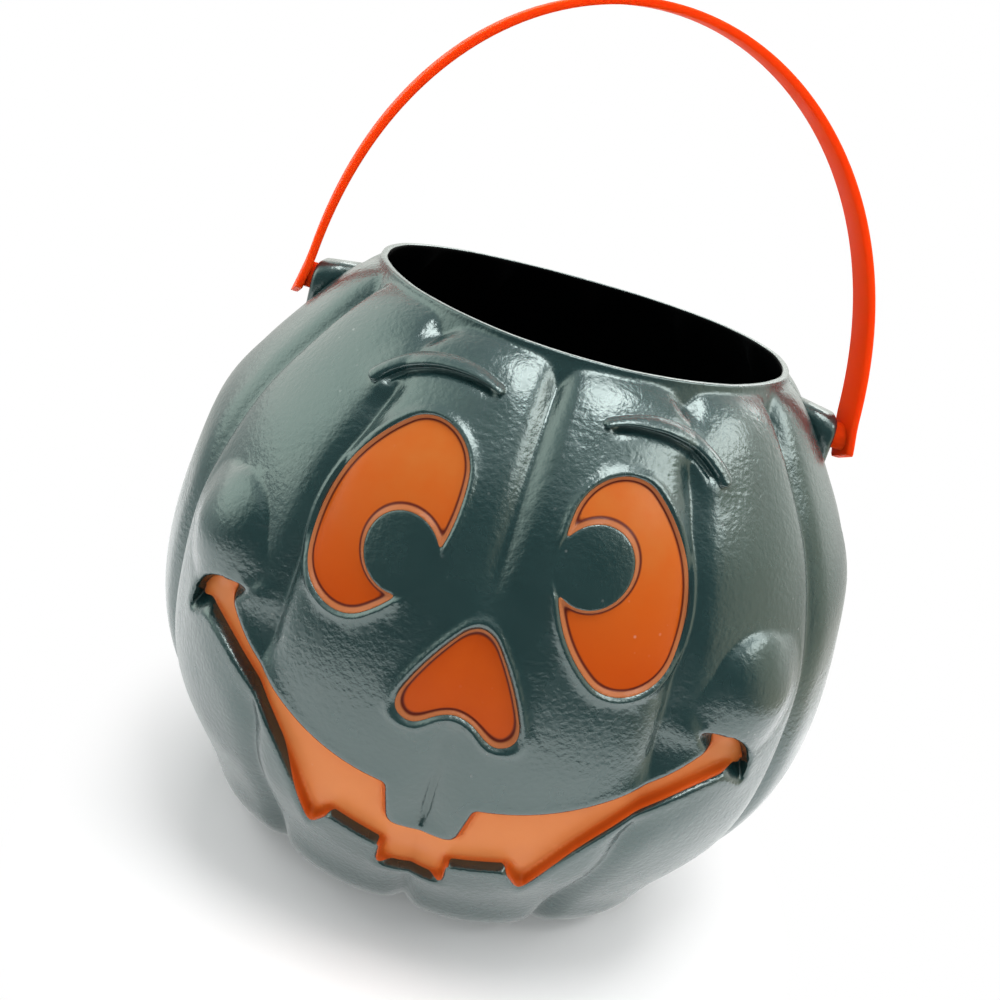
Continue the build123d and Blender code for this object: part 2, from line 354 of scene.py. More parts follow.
def creaseDepth(degrees, height, x, ahead):
    crease = creaseAt(height) * creaseShare(degrees)
    faint, seam = pail["faintCrease"], pail["seam"]
    fade = easeBetween(height, *faint["starts"]) * (1 - easeBetween(height, *faint["ends"]))
    fade *= 1 - easeBetween(np.abs(degrees), *faint["degrees"])
    crease *= 1 - (1 - faint["share"]) * fade
    fromBrow = np.abs(browField(x, height)[0]) - brows["halfWidth"]
    neighbours = (
        (mouthField(x, height), pail["mouthCrease"]),
        (noseField(x, height), pail["noseCrease"]),
        (fromBrow, brows["crease"]),
    )
    for away, (share, reach) in neighbours:
        near = np.where(ahead > 0, 1 - easeBetween(away, 0.0, reach), 0.0)
        crease *= 1 - (1 - share) * near
    along = easeBetween(height, seam["from"], seam["from"] + seam["ends"])
    along *= 1 - easeBetween(height, seam["to"] - seam["ends"], seam["to"])
    return crease + seam["depth"] * along * np.exp(-(degrees / seam["degrees"])**2)


def foldSheet(sheet):
    # degrees from the middle of the face, section place
    degrees = 360 * sheet[:, 0]
    lobes = pail["lobes"]
    degrees = degrees - pail["crowding"] * np.degrees(np.sin(np.radians(degrees) * lobes)) / lobes
    nudge = 0.001  # a row between two legs belongs to the later one
    return degrees, (sheet[:, 1] + 0.5) * sectionEnd + nudge


def wrapSheet(sheet):
    # the lobed pail, before its face
    degrees, place = foldSheet(sheet)
    radius = np.interp(place, sectionPlaces, sectionRadii)
    height = np.interp(place, sectionPlaces, sectionHeights)
    across, ahead = np.sin(np.radians(degrees)), np.cos(np.radians(degrees))
    crease = creaseDepth(degrees, height, radius * across, ahead)
    base = np.minimum(radius / crestRadii[0], 1.0)**6  # no lobes in the middle of the base
    inside = place > insideStart
    rimDepth = np.interp(sideEnd, sectionPlaces, sectionRadii) - radius
    depth = np.select([inside, place > sideEnd], [pail["wall"] * pail["wallSlant"], rimDepth], 0.0)
    radius = radius - crease * base
    collar = collarAt(np.minimum(height, pail["height"] - pail["rimRound"]))
    outerBlend, innerBlend = pail["collarBlend"]
    blend = np.where(inside, innerBlend, outerBlend)
    radius = np.where(height > pail["shoulder"], softMax(radius + depth, collar, blend) - depth, radius)
    lift = pail["saddle"] * across**2 + pail["backLean"] * across * np.maximum(-ahead, 0.0)
    height = height + lift * easeBetween(height, pail["liftStart"], pail["height"])
    return np.stack([radius * across, -radius * ahead, height], 1), place


def onSide(place):  # the outside, from the foot ring up to the rim
    return (place > sideStart - 0.5) & (place < sideEnd + 0.2)


def onFace(points):
    return (points[:, 1] < relief["front"]) & (points[:, 2] > relief["foot"])


def paintEdge(field, sizes, x, z):
    # paint starts a little way down the wall, lower below the arms, on the lower teeth and in dimples
    edge = sizes["bareEdge"]
    if field is not mouthField:
        return field(x, z) + edge
    step = 0.05
    lookUp = np.clip((gapeField(x, z - step) - gapeField(x, z + step)) / (2 * step), 0.0, 1.0)
    tooth = easeBetween(lookUp, *sizes["toothFacing"]) * (1 - easeBetween(np.abs(x), *sizes["teethEnd"]))
    arm = easeBetween(lookUp, *sizes["armFacing"]) * easeBetween(np.abs(x), *sizes["armStart"])
    bareArm = np.where(x < 0, *sizes["bareArm"])
    bare = edge + (sizes["bareToothTop"] - edge) * tooth + (bareArm - edge) * arm
    cap = np.minimum(dimpleArc(np.abs(x), z) + sizes["bareDimple"], np.abs(x) - sizes["corner"][0])
    gape = np.maximum(gapeField(x, z) + bare, cap)
    return softMin(gape, dimpleField(x, z) + sizes["bareDimple"], sizes["cornerBlend"])


def cheekShape(points, side):
    # distance from the middle of the cheek, how far it reaches and how it falls away there
    angle, radius = radians(cheeks["angle"]) * side, radiusAt(np.array([cheeks["height"]]))[0]
    offset = points - [radius * sin(angle), -radius * cos(angle), cheeks["height"]]
    away, lean = np.linalg.norm(offset, axis=1), radians(cheeks["crispLean"])
    inward = -side * (offset[:, 0] * cos(angle) + offset[:, 1] * sin(angle))
    towardsEye = (inward * sin(lean) + offset[:, 2] * cos(lean)) / np.hypot(away, cheeks["crispCore"])
    crisp = easeBetween(towardsEye, *cheeks["crispRange"])
    reach = cheeks["softSpread"] + (cheeks["crispSpread"] - cheeks["softSpread"]) * crisp
    fall = cheeks["softFall"] + (cheeks["crispFall"] - cheeks["softFall"]) * crisp
    return away, reach, fall


def carveFace(points, place):
    x, z = points[:, 0], points[:, 2]
    radius = np.hypot(x, points[:, 1])
    outward = points * [1, 1, 0] / np.maximum(radius, 1.0)[:, None]
    front = onFace(points)
    outside = front & onSide(place)
    behind = front & (place > insideStart)
    beadShare = besidePupils(x, z)
    rise, sink = np.zeros(len(points)), np.zeros(len(points))
    for field, sizes in sunkFeatures.values():
        d = field(x, z)
        down = np.clip(-d / sizes["wallWidth"], 0.0, 1.0)**relief["wallCurve"]
        bead = sizes["bead"] * np.exp(-((d - sizes["beadWay"]) / sizes["beadWidth"])**2)
        rise += np.where(outside, bead * (1 - down) * beadShare, 0.0)
        sink += np.where(outside, down * sizes["depth"], 0.0)
        sink += np.where(behind, sizes["depth"] * (1 - easeBetween(d, *relief["backSwell"])), 0.0)
    rise += np.where(outside, browRise(x, z), 0.0)
    jawLine = bowedDisc(*mouth["jaw"], mouth["jawBow"])
    under = fromDisc(np.abs(x), z, jawLine) - mouth["jawWay"]  # the jaw pouts below the mouth
    rise += np.where(outside, mouth["jawProud"] * np.exp(-(under / mouth["jawReach"])**2), 0.0)
    for side in (-1, 1):
        away, reach, fall = cheekShape(points, side)
        rise += np.where(front, cheeks["bulge"] * np.maximum(1 - (away / reach)**2, 0.0)**fall, 0.0)
    pull = radius / np.maximum(-points[:, 1], 1.0)  # the mould opens to the front
    shaped = points + outward * rise[:, None]
    shaped[:, 1] += sink * np.where(front, pull, 0.0)
    return shaped


def nearestOutline(x, z):
    nearest = np.full(len(x), relief["farOff"])
    for field, sizes in sunkFeatures.values():
        edge = paintEdge(field, sizes, x, z)
        nearest = np.where(np.abs(edge) < np.abs(nearest), edge, nearest)
    return nearest


def sheetArray(bm):
    return np.array([v.co[:2] for v in bm.verts], float)


def outlineOnSheet(sheet):
    points, place = wrapSheet(sheet)
    nearest = nearestOutline(points[:, 0], points[:, 2])
    shown = onFace(points) & onSide(place)
    return np.where(shown, nearest, relief["farOff"]), points, shown


def refineSheet(bm):
    for outlineBand, browBand, cheekBand in pail["refine"]:
        edge, points, shown = outlineOnSheet(sheetArray(bm))
        across, _ = browField(points[:, 0], points[:, 2])
        close = (np.abs(edge) < outlineBand) | (shown & (np.abs(across) < browBand))
        for side in (-1, 1):
            away, reach, _ = cheekShape(points, side)
            close |= shown & (np.abs(away - reach + cheeks["edgeWay"]) < cheekBand)
        bm.verts.index_update()
        edges = [e for e in bm.edges if close[e.verts[0].index] and close[e.verts[1].index]]
        bmesh.ops.subdivide_edges(bm, edges=edges, cuts=1, use_grid_fill=True)


def slideToOutline(bm):
    # where an edge of the sheet crosses the edge of the paint, its nearer end slides onto it
    here, _, _ = outlineOnSheet(sheetArray(bm))
    bm.verts.index_update()
    nearer = set()
    for edge in bm.edges:
        a, b = edge.verts
        fromA, fromB = here[a.index], here[b.index]
        if fromA * fromB < 0 and max(abs(fromA), abs(fromB)) < pail["slideReach"]:
            nearer.add(a if abs(fromA) < abs(fromB) else b)
    nearer = sorted(nearer, key=lambda v: v.index)
    step = np.array([0.1 / 360, 0.03 / sectionEnd])  # a tenth of a degree, a little of a row
    sheet = np.array([v.co[:2] for v in nearer], float)
    for _ in range(pail["slideRounds"]):
        value, _, _ = outlineOnSheet(sheet)
        slopes = np.zeros_like(sheet)
        for axis in (0, 1):
            shift = np.zeros(2)
            shift[axis] = step[axis]
            slopes[:, axis] = outlineOnSheet(sheet + shift)[0] - outlineOnSheet(sheet - shift)[0]
        steep = np.maximum((slopes**2).sum(1), 1e-6)
        sheet -= (2 * value / steep)[:, None] * slopes * step
    for vert, place in zip(nearer, sheet):
        vert.co.x, vert.co.y = place
    bmesh.ops.connect_verts(bm, verts=nearer)


def newObject(name, bm, material, smooth=True):
    mesh = bpy.data.meshes.new(name)
    for face in bm.faces:
        face.smooth = smooth
    bm.to_mesh(mesh)
    bm.free()
    mesh.materials.append(material)
    piece = bpy.data.objects.new(name, mesh)
    bpy.context.scene.collection.objects.link(piece)
    return piece


paintFilm = {"lift": 0.12, "thickness": 0.1, "reach": 0.02}  # reach: how far past its edge a point counts


def buildPaint(name, shell, inside, d, orangePaint, mouthSheen):
    bm = shell.copy()
    bm.verts.ensure_lookup_table()
    depthLayer = bm.verts.layers.float.new("wayIn")  # millimetres in from the outline
    sheenLayer = bm.verts.layers.float.new("mouthSheenShare")  # 1 on the mouth, where the paint is painted paler as a reflection of the floor
    for vert in bm.verts:
        vert[depthLayer] = -d[vert.index]
        vert[sheenLayer] = float(mouthSheen)
    outside = [f for f in bm.faces if not all(inside[v.index] for v in f.verts)]
    bmesh.ops.delete(bm, geom=outside, context="FACES")
    bmesh.ops.recalc_face_normals(bm, faces=bm.faces[:])
    if sum(f.normal.y for f in bm.faces) > 0:
        bmesh.ops.reverse_faces(bm, faces=bm.faces[:])
    bm.normal_update()
    for vert in bm.verts:
        vert.co += vert.normal * paintFilm["lift"] * mm
    piece = newObject(name.title().replace("_", ""), bm, orangePaint)
    film = piece.modifiers.new("film", "SOLIDIFY")
    film.thickness, film.offset = paintFilm["thickness"] * mm, -1.0
    return piece, name


def buildPail(blackPlastic, blackShadedInside, orangePaint):
    bm = bmesh.new()
    bmesh.ops.create_grid(bm, x_segments=pail["columns"], y_segments=int(round(sectionEnd)), size=0.5)
    refineSheet(bm)
    slideToOutline(bm)
    points, place = wrapSheet(sheetArray(bm))
    shaped = carveFace(points, place)
    shown = onFace(points) & onSide(place)
    painted = {}
    for name, (field, sizes) in sunkFeatures.items():
        edge = paintEdge(field, sizes, points[:, 0], points[:, 2])
        painted[name] = shown & (edge < paintFilm["reach"]), field(points[:, 0], points[:, 2])
    bm.verts.index_update()
    # faces inside the pail take the second material, which paints the inside in shade
    for face in bm.faces:
        face.material_index = int(min(place[v.index] for v in face.verts) > insideStart - pail["innerRim"])
    for vert, point in zip(bm.verts, shaped):
        vert.co = Vector(point) * mm
    paints = []
    for name, (inside, d) in painted.items():
        paints.append(buildPaint(name, bm, inside, d, orangePaint, name == "mouth_paint"))
    bmesh.ops.remove_doubles(bm, verts=bm.verts[:], dist=1e-6)
    bmesh.ops.recalc_face_normals(bm, faces=bm.faces[:])
    if bm.calc_volume(signed=True) < 0:
        bmesh.ops.reverse_faces(bm, faces=bm.faces[:])
    print("pail:", len(bm.faces), "faces,", round(bm.calc_volume(signed=True) * 1e6, 1), "cm3")
    shell = newObject("pailShell", bm, blackPlastic)
    shell.data.materials.append(blackShadedInside)
    return shell, paints


# lugs on the shoulder, one each side

lugs = {
    "pivotHeight": frame["joints"][0]["pos_m"][2] / mm,
    "reach": 85.5, "halfWidth": 8.5, "head": 6.0, "drop": 10.0,
    "topSlope": 2.5, "topRoot": 69.0, "lowRoot": 82.5,
    "crownRounding": 6.2, "crownSteps": 8, "endRounding": 2.0, "endSteps": 5,
}


def roundEdges(bm, edges, offset, steps):
    return bmesh.ops.bevel(bm, geom=list(edges), offset=offset, offset_type="OFFSET", segments=steps,
                           profile=0.5, affect="EDGES", material=-1)["verts"]


def buildLugs(blackPlastic):
    bm = bmesh.new()
    pivot, reach, slack = lugs["pivotHeight"], lugs["reach"], 0.1
    for side in (-1, 1):
        made = bmesh.ops.create_cube(bm, size=1.0)["verts"]
        for vert in made:
            outer = vert.co.x * side > 0
            high = vert.co.z > 0
            root = lugs["topRoot"] if high else lugs["lowRoot"]
            vert.co.x = side * (reach if outer else root)
            vert.co.y = lugs["halfWidth"] * (1 if vert.co.y > 0 else -1)
            top = pivot + lugs["head"] + (0.0 if outer else lugs["topSlope"])
            vert.co.z = top if high else pivot - lugs["drop"]
        crown = pivot + lugs["head"] - slack
        topEdges = {e for v in made for e in v.link_edges
                    if min(w.co.z for w in e.verts) > crown and e.verts[0].co.y * e.verts[1].co.y > 0}
        rounded = roundEdges(bm, topEdges, lugs["crownRounding"], lugs["crownSteps"])
        endEdges = {e for v in made + rounded if v.is_valid for e in v.link_edges
                    if min(abs(w.co.x) for w in e.verts) > reach - slack}
        roundEdges(bm, endEdges, lugs["endRounding"], lugs["endSteps"])
    bmesh.ops.scale(bm, vec=(mm, mm, mm), verts=bm.verts[:])
    bmesh.ops.recalc_face_normals(bm, faces=bm.faces[:])
    return newObject("lugs", bm, blackPlastic)


# handle: a flat strap bent to half an ellipse, with a boss and pin at each end

handle = {
    "outerHalfSpan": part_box("handle")[1].x / mm, "thickness": 2.4, "width": 12.6, "archHeight": 104.8,
    "flare": 2.2, "flareHeight": 26.0,  # the legs straighten towards the lugs
    "tail": 6.0, "tailFlare": 2.0, "tailStart": 8.0,  # the tails lean out, from a little above the pins
    "edgeRounding": 0.7, "endRounding": 0.8, "endNarrowing": 0.6, "endSlant": 0.35, "twist": 14.5,
    "bossRadius": 4.2, "bossStart": 85.8, "pinRadius": 2.5, "pinStart": 80.0,
    "steps": 96, "edgeSteps": 3, "pinSides": 40, "sharpAngle": 40.0,
}


def leanOfTail(height):
    start, tail = handle["tailStart"], handle["tail"]
    below = max(lugs["pivotHeight"] + start - height, 0.0) / (start + tail)
    return handle["tailFlare"] * below**2


def buildHandle(orangePlastic):
    bm = bmesh.new()
    pivot, thick, width = lugs["pivotHeight"], handle["thickness"], handle["width"]
    rounding, twist = handle["endRounding"], tan(radians(handle["twist"]))
    middle = handle["outerHalfSpan"] - thick / 2
    archMiddle = handle["archHeight"] + thick / 2
    bmesh.ops.create_grid(bm, x_segments=1, y_segments=1, size=0.5)
    for vert in bm.verts:
        vert.co = (middle + vert.co.x * thick, vert.co.y * width, pivot)
    bmesh.ops.bevel(bm, geom=bm.verts[:], offset=handle["edgeRounding"], offset_type="OFFSET",
                    segments=handle["edgeSteps"], profile=0.5, affect="VERTICES", material=-1)
    bmesh.ops.delete(bm, geom=bm.faces[:], context="FACES_ONLY")
    section = bm.edges[:]
    spun = bmesh.ops.spin(bm, geom=section, cent=(0, 0, pivot), axis=(0, -1, 0), angle=pi,
                          steps=handle["steps"])
    last = [g for g in spun["geom_last"] if isinstance(g, bmesh.types.BMEdge)]
    for vert in bm.verts:
        angle = atan2(vert.co.z - pivot, vert.co.x)
        offset = hypot(vert.co.x, vert.co.z - pivot) - middle
        rise = (archMiddle + offset) * sin(angle)
        flare = handle["flare"] * exp(-rise / handle["flareHeight"])
        vert.co.x = (middle - handle["flare"] + offset) * cos(angle) + (flare if vert.co.x > 0 else -flare)
        vert.co.z = pivot + rise
    for loop in (section, last):
        for drop in (handle["tail"] - rounding, rounding):
            grown = bmesh.ops.extrude_edge_only(bm, edges=loop)["geom"]
            loop = [g for g in grown if isinstance(g, bmesh.types.BMEdge)]
            ends = [g for g in grown if isinstance(g, bmesh.types.BMVert)]
            loop = [e for e in loop if e.verts[0] in ends and e.verts[1] in ends]
            bmesh.ops.translate(bm, vec=(0, 0, -drop), verts=ends)
            if drop != rounding:
                for vert in ends:
                    vert.co.z -= handle["endSlant"] * vert.co.y
        for vert in ends:
            vert.co.y *= 1 - 2 * rounding / width * handle["endNarrowing"]
        bmesh.ops.contextual_create(bm, geom=loop)
    bmesh.ops.recalc_face_normals(bm, faces=bm.faces[:])
    for vert in bm.verts:
        vert.co.x += leanOfTail(vert.co.z) * (1 if vert.co.x > 0 else -1)
        vert.co.x -= vert.co.y * twist
    for side in (-1, 1):
        for part in ("boss", "pin"):
            radius, start = handle[part + "Radius"], handle[part + "Start"]
            centre = (start + middle) / 2
            place = Matrix.Translation((side * centre, 0, pivot)) @ Matrix.Rotation(pi / 2, 4, "Y")
            made = bmesh.ops.create_cone(bm, cap_ends=True, segments=handle["pinSides"], radius1=radius,
                                         radius2=radius, depth=middle - start, matrix=place)["verts"]
            for vert in made:  # their outer ends follow the strap
                if abs(vert.co.x) > centre:
                    vert.co.x += side * leanOfTail(pivot) - vert.co.y * twist
    bmesh.ops.scale(bm, vec=(mm, mm, mm), verts=bm.verts[:])
    piece = newObject("strapHandle", bm, orangePlastic)
    piece.data.set_sharp_from_angle(angle=radians(handle["sharpAngle"]))
    return piece


# nodes that the materials share

def nodeMaker(tree):
    def add(kind, **values):
        node = tree.nodes.new(kind)
        for key, value in values.items():
            if key in node.inputs.keys():
                node.inputs[key].default_value = value
            else:
                setattr(node, key, value)
        return node
    return add


def startGroup(name, inputs, outputs):  # sockets by name, each with its kind
    group = bpy.data.node_groups.new(name, "ShaderNodeTree")
    for way, sockets in (("INPUT", inputs), ("OUTPUT", outputs)):
        for socket, kind in sockets.items():
            group.interface.new_socket(socket, in_out=way, socket_type="NodeSocket" + kind)
    add = nodeMaker(group)
    return group, add, group.links.new, add("NodeGroupInput"), add("NodeGroupOutput")


def placeGroup(add, group, **values):
    node = add("ShaderNodeGroup")
    node.node_tree = group
    for key, value in values.items():
        node.inputs[key.replace("_", " ")].default_value = value
    return node


def spread(add, link, value, source, result=(0.0, 1.0)):
    node = add("ShaderNodeMapRange")
    link(value, node.inputs["Value"])
    for key, number in zip(("From Min", "From Max", "To Min", "To Max"), (*source, *result)):
        node.inputs[key].default_value = number
    return node.outputs["Result"]


def multiply(add, link, first, second):
    node = add("ShaderNodeMath", operation="MULTIPLY")
    for socket, value in zip(node.inputs, (first, second)):
        if isinstance(value, float):
            socket.default_value = value
        else:
            link(value, socket)
    return node.outputs[0]


def mixColour(add, link, factor, first, second):
    mix = add("ShaderNodeMix", data_type="RGBA")
    link(factor, mix.inputs["Factor"])
    sockets = [s for s in mix.inputs if s.type == "RGBA"]
    for socket, value in zip(sockets, (first, second)):
        if isinstance(value, tuple):
            socket.default_value = (*value, 1.0)
        else:
            link(value, socket)
    return [s for s in mix.outputs if s.type == "RGBA"][0]


def mouldGrainGroup():
    # fine orange peel, slow waves of the wall and patches of polish
    inputs = {"Vector": "Vector", "Peel Scale": "Float", "Wave Scale": "Float", "Wave Share": "Float"}
    group, add, link, start, end = startGroup("mouldGrain", inputs, {"Height": "Float", "Patch": "Float"})
    peel = add("ShaderNodeTexNoise", Detail=2.0, Roughness=0.55)
    wave = add("ShaderNodeTexNoise", Detail=1.0, Roughness=0.4)
    patch = add("ShaderNodeTexNoise", Scale=70.0, Detail=3.0, Roughness=0.6)
    height = add("ShaderNodeMath", operation="MULTIPLY_ADD")
    for noise in (peel, wave, patch):
        link(start.outputs["Vector"], noise.inputs["Vector"])
    link(start.outputs["Peel Scale"], peel.inputs["Scale"])
    link(start.outputs["Wave Scale"], wave.inputs["Scale"])
    link(wave.outputs["Fac"], height.inputs[0])
    link(start.outputs["Wave Share"], height.inputs[1])
    link(peel.outputs["Fac"], height.inputs[2])
    link(height.outputs[0], end.inputs["Height"])
    link(patch.outputs["Fac"], end.inputs["Patch"])
    return group


handling = {
    "streakScale": (60.0, 60.0, 420.0), "streakTurn": (0.5, 0.3, 0.2),
    "patchScale": 45.0, "speckScale": 190.0,
    "scuffed": (0.62, 0.74), "handled": (0.52, 0.68), "specked": (0.1, 0.05),
}


def handlingMarksGroup():
    # short scuffs and small pale specks
    inputs = {"Vector": "Vector", "Amount": "Float"}
    group, add, link, start, end = startGroup("handlingMarks", inputs, {"Scuff": "Float", "Speck": "Float"})
    stretch = add("ShaderNodeMapping", Scale=handling["streakScale"], Rotation=handling["streakTurn"])
    streak = add("ShaderNodeTexNoise", Scale=1.0, Detail=4.0, Roughness=0.7)
    where = add("ShaderNodeTexNoise", Scale=handling["patchScale"], Detail=2.0)
    cells = add("ShaderNodeTexVoronoi", Scale=handling["speckScale"])
    for node in (stretch, where, cells):
        link(start.outputs["Vector"], node.inputs["Vector"])
    link(stretch.outputs["Vector"], streak.inputs["Vector"])
    scuffs = spread(add, link, streak.outputs["Fac"], handling["scuffed"])
    specks = spread(add, link, cells.outputs["Distance"], handling["specked"])
    handled = spread(add, link, where.outputs["Fac"], handling["handled"])
    for marks, socket in ((scuffs, "Scuff"), (specks, "Speck")):
        some = multiply(add, link, marks, handled)
        link(multiply(add, link, some, start.outputs["Amount"]), end.inputs[socket])
    return group


mouldGrain, handlingMarks = mouldGrainGroup(), handlingMarksGroup()


# materials

blackGloss = {
    "peel": 620.0, "wave": 60.0, "waveShare": 1.2, "marks": 0.3, "bump": 0.85, "bumpDepth": 0.0002,
    "tones": ((0.004, 0.02, 0.021), (0.008, 0.032, 0.033)),
    "scuff": (0.09, 0.1, 0.1), "speck": (0.5, 0.5, 0.48), "roughness": (0.22, 0.3),
    "shader": {"IOR": 1.58, "Specular IOR Level": 1.0, "Specular Tint": (0.86, 1.0, 0.97, 1.0)},
}
dullShadedBlack = {  # the unpolished inside of the moulding, painted darker and barely glossy as painted shade
    "peel": 450.0, "wave": 50.0, "waveShare": 1.5, "marks": 0.2, "bump": 0.4, "bumpDepth": 0.0003,
    "tones": ((0.001, 0.0012, 0.0014), (0.003, 0.0035, 0.004)),
    "scuff": (0.012, 0.013, 0.013), "speck": None, "roughness": (0.6, 0.75),
    "shader": {"Specular IOR Level": 0.06},
}
strapOrange = {  # light sinks a little way in
    "peel": 500.0, "wave": 90.0, "waveShare": 1.0, "marks": 0.4, "bump": 0.15, "bumpDepth": 0.0001,
    "tones": ((1.0, 0.05, 0.003), (1.0, 0.066, 0.005)),
    "scuff": (0.95, 0.2, 0.08), "speck": None, "roughness": (0.42, 0.55),
    "shader": {"Specular IOR Level": 0.03, "Subsurface Weight": 0.6, "Subsurface Scale": 1.0,
               "Subsurface Radius": (0.004, 0.0015, 0.0006)},
}
sprayPaint = {
    "peel": 900.0, "wave": 80.0, "waveShare": 0.8, "marks": 0.25, "bump": 0.2, "bumpDepth": 0.0001,
    "roughness": (0.28, 0.38), "shader": {"Specular IOR Level": 0.15}, "speck": (0.7, 0.5, 0.4),
    # eyes and nose, from low to high on the pail, in metres: paler higher up, a painted sheen
    "low": (0.48, 0.058, 0.0005), "high": (0.5, 0.165, 0.032), "rise": (0.11, 0.15),
    "patch": (0.52, 0.08, 0.001),
    # the mouth is painted paler, a painted reflection of the floor, and darker near its walls, painted shade
    "mouthSheen": ((0.7, 0.215, 0.062), (0.76, 0.262, 0.084)),
    "mouthShadeByWall": (0.66, 0.14, 0.018), "shadeByWall": (1.7, 3.6),
    # walls, painted duller as painted shade and reflection, and a dark line at their foot, painted shade in
    # the corner: millimetres in from the outline
    "wall": (0.4, 0.13, 0.045), "mouthWallShade": (0.56, 0.09, 0.009), "wallFoot": (1.3, 1.9),
    "line": (0.1, 0.012, 0.004), "lineStart": (1.1, 1.4), "lineEnd": (2.1, 1.7), "mouthLineShare": 0.2,
}
polish = (0.3, 0.7)  # from the glossiest patches of the grain to the dullest


def startMaterial(name):
    material = bpy.data.materials.new(name)
    material.use_nodes = True
    tree = material.node_tree
    tree.nodes.clear()
    add, link = nodeMaker(tree), tree.links.new
    shader, output = add("ShaderNodeBsdfPrincipled"), add("ShaderNodeOutputMaterial")
    link(shader.outputs["BSDF"], output.inputs["Surface"])
    return material, add, link, shader


def startFinish(name, finish):
    # grain, marks, bump and roughness, which every finish has
    material, add, link, shader = startMaterial(name)
    coords = add("ShaderNodeTexCoord")
    grain = placeGroup(add, mouldGrain, Peel_Scale=finish["peel"], Wave_Scale=finish["wave"],
                       Wave_Share=finish["waveShare"])
    marks = placeGroup(add, handlingMarks, Amount=finish["marks"])
    for group in (grain, marks):
        link(coords.outputs["Object"], group.inputs["Vector"])
    bump = add("ShaderNodeBump", Strength=finish["bump"], Distance=finish["bumpDepth"])
    link(grain.outputs["Height"], bump.inputs["Height"])
    link(bump.outputs["Normal"], shader.inputs["Normal"])
    patch = grain.outputs["Patch"]
    link(spread(add, link, patch, polish, finish["roughness"]), shader.inputs["Roughness"])
    for key, value in finish["shader"].items():
        shader.inputs[key].default_value = value
    return material, add, link, shader, coords, patch, marks


def makePlastic(name, finish):
    material, add, link, shader, _, patch, marks = startFinish(name, finish)
    colour = mixColour(add, link, patch, *finish["tones"])
    colour = mixColour(add, link, marks.outputs["Scuff"], colour, finish["scuff"])
    if finish["speck"]:
        colour = mixColour(add, link, marks.outputs["Speck"], colour, finish["speck"])
    link(colour, shader.inputs["Base Color"])
    return material


def makePaint(name, finish):
    material, add, link, shader, coords, patch, marks = startFinish(name, finish)
    wayIn = add("ShaderNodeAttribute", attribute_name="wayIn").outputs["Fac"]
    mouthSheen = add("ShaderNodeAttribute", attribute_name="mouthSheenShare").outputs["Fac"]
    parts = add("ShaderNodeSeparateXYZ")
    link(coords.outputs["Object"], parts.inputs[0])
    # eyes and nose turn paler towards the top of the pail: a painted sheen
    risen = spread(add, link, parts.outputs["Z"], finish["rise"])
    full = mixColour(add, link, risen, finish["low"], finish["high"])
    full = mixColour(add, link, patch, full, finish["patch"])
    # the mouth's paler floor is a painted reflection of the floor
    paler = mixColour(add, link, patch, *finish["mouthSheen"])
    # close to the walls the mouth is darker: painted shade
    pale = mixColour(add, link, spread(add, link, wayIn, finish["shadeByWall"]), finish["mouthShadeByWall"], paler)
    floor = mixColour(add, link, mouthSheen, full, pale)
    # the walls take a duller colour: painted shade and reflection
    wall = mixColour(add, link, mouthSheen, finish["wall"], finish["mouthWallShade"])
    coat = mixColour(add, link, spread(add, link, wayIn, finish["wallFoot"]), wall, floor)
    # a dark line at the foot of each wall: painted shade in the corner
    lineStart, lineEnd = (spread(add, link, wayIn, finish[key]) for key in ("lineStart", "lineEnd"))
    line = multiply(add, link, lineStart, lineEnd)
    line = multiply(add, link, line, spread(add, link, mouthSheen, (0.0, 1.0), (1.0, finish["mouthLineShare"])))
    lined = mixColour(add, link, line, coat, finish["line"])
    specked = mixColour(add, link, marks.outputs["Speck"], lined, finish["speck"])
    link(specked, shader.inputs["Base Color"])
    return material


blackPlastic = makePlastic("blackPlastic", blackGloss)
blackShadedInside = makePlastic("blackInsideShadedPlastic", dullShadedBlack)
orangePaint = makePaint("orangePaint", sprayPaint)
orangePlastic = makePlastic("orangeStrapPlastic", strapOrange)
print("materials:", len(bpy.data.materials))

shell, paints = buildPail(blackPlastic, blackShadedInside, orangePaint)
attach(shell, "pail")
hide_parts("pail_body")
for paint, node in paints:
    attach(paint, "pail")
    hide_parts(node)
    print("paint:", paint.name, len(paint.data.polygons), "faces")

lugPair = buildLugs(blackPlastic)
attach(lugPair, "pail")
print("lugs:", len(lugPair.data.polygons), "faces")

strap = buildHandle(orangePlastic)
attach(strap, "handle")
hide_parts("handle")
print("handle:", len(strap.data.polygons), "faces")


# floor, light and camera

studio = {
    "floorSize": 30.0, "floorDrop": 0.2,  # just clear of the pail's foot ring
    "floorColour": 0.84, "floorRoughness": 0.8, "floorGlow": {"toEye": 0.13, "inGloss": 0.55},
    "fade": {"toEye": (0.1, 0.172), "inGloss": (0.34, 0.48)},  # metres from the pail
    "shadeStretch": (1.35, 1.0, 1.0), "shadeShift": (0.0, 0.025, 0.0),
    "skyFill": 0.56, "aim": (0.0, 0.0, 0.09),
}
room = {  # what the gloss sees beyond the floor, and the directions where each part starts and is full
    "front": (0.12, 0.17, 0.17), "left": (2.2, 2.4, 2.2), "right": (0.9, 0.86, 0.69),
    "back": (1.7, 1.7, 1.6), "above": (0.6, 0.68, 0.68),
    "lowLeft": (0.7, 0.78, 0.76), "lowBack": (1.0, 1.0, 0.95),
    "across": (-0.8, 0.8), "risen": (0.0, 0.06), "ahead": (-0.2, -0.68), "behind": (0.1, 0.8),
    "overhead": (0.62, 0.9),
}
